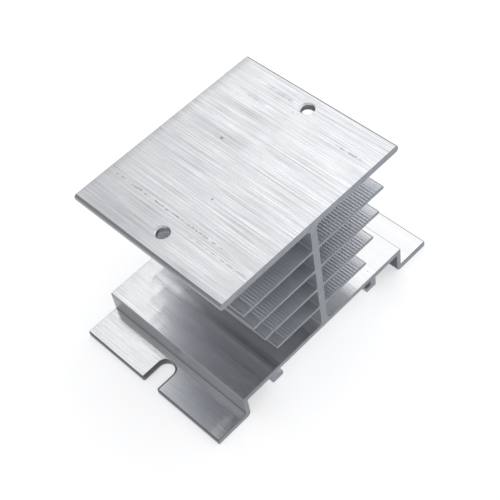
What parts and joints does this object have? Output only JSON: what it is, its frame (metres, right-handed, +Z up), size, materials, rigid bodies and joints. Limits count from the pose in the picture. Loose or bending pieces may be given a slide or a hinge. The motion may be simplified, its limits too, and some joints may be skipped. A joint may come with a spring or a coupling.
{
  "type": "solid state relay heat sink",
  "caption": "Finned aluminium extrusion that cools a solid state relay: flat relay plate with tapped holes over a web with serrated fins, on a slotted foot with rail hooks.",
  "frame": {"origin": "middle of the footprint, on the surface that the flanges stand on", "axes": "+Z up to the relay's seat, +X across the flanges, +Y along the extrusion"},
  "size_m": [0.08, 0.05, 0.05],
  "materials": {
    "aluminium": "as extruded, bare, with fine die lines along the length"
  },
  "bodies": {
    "root": {"heat_sink": "aluminium"}
  },
  "joints": []
}
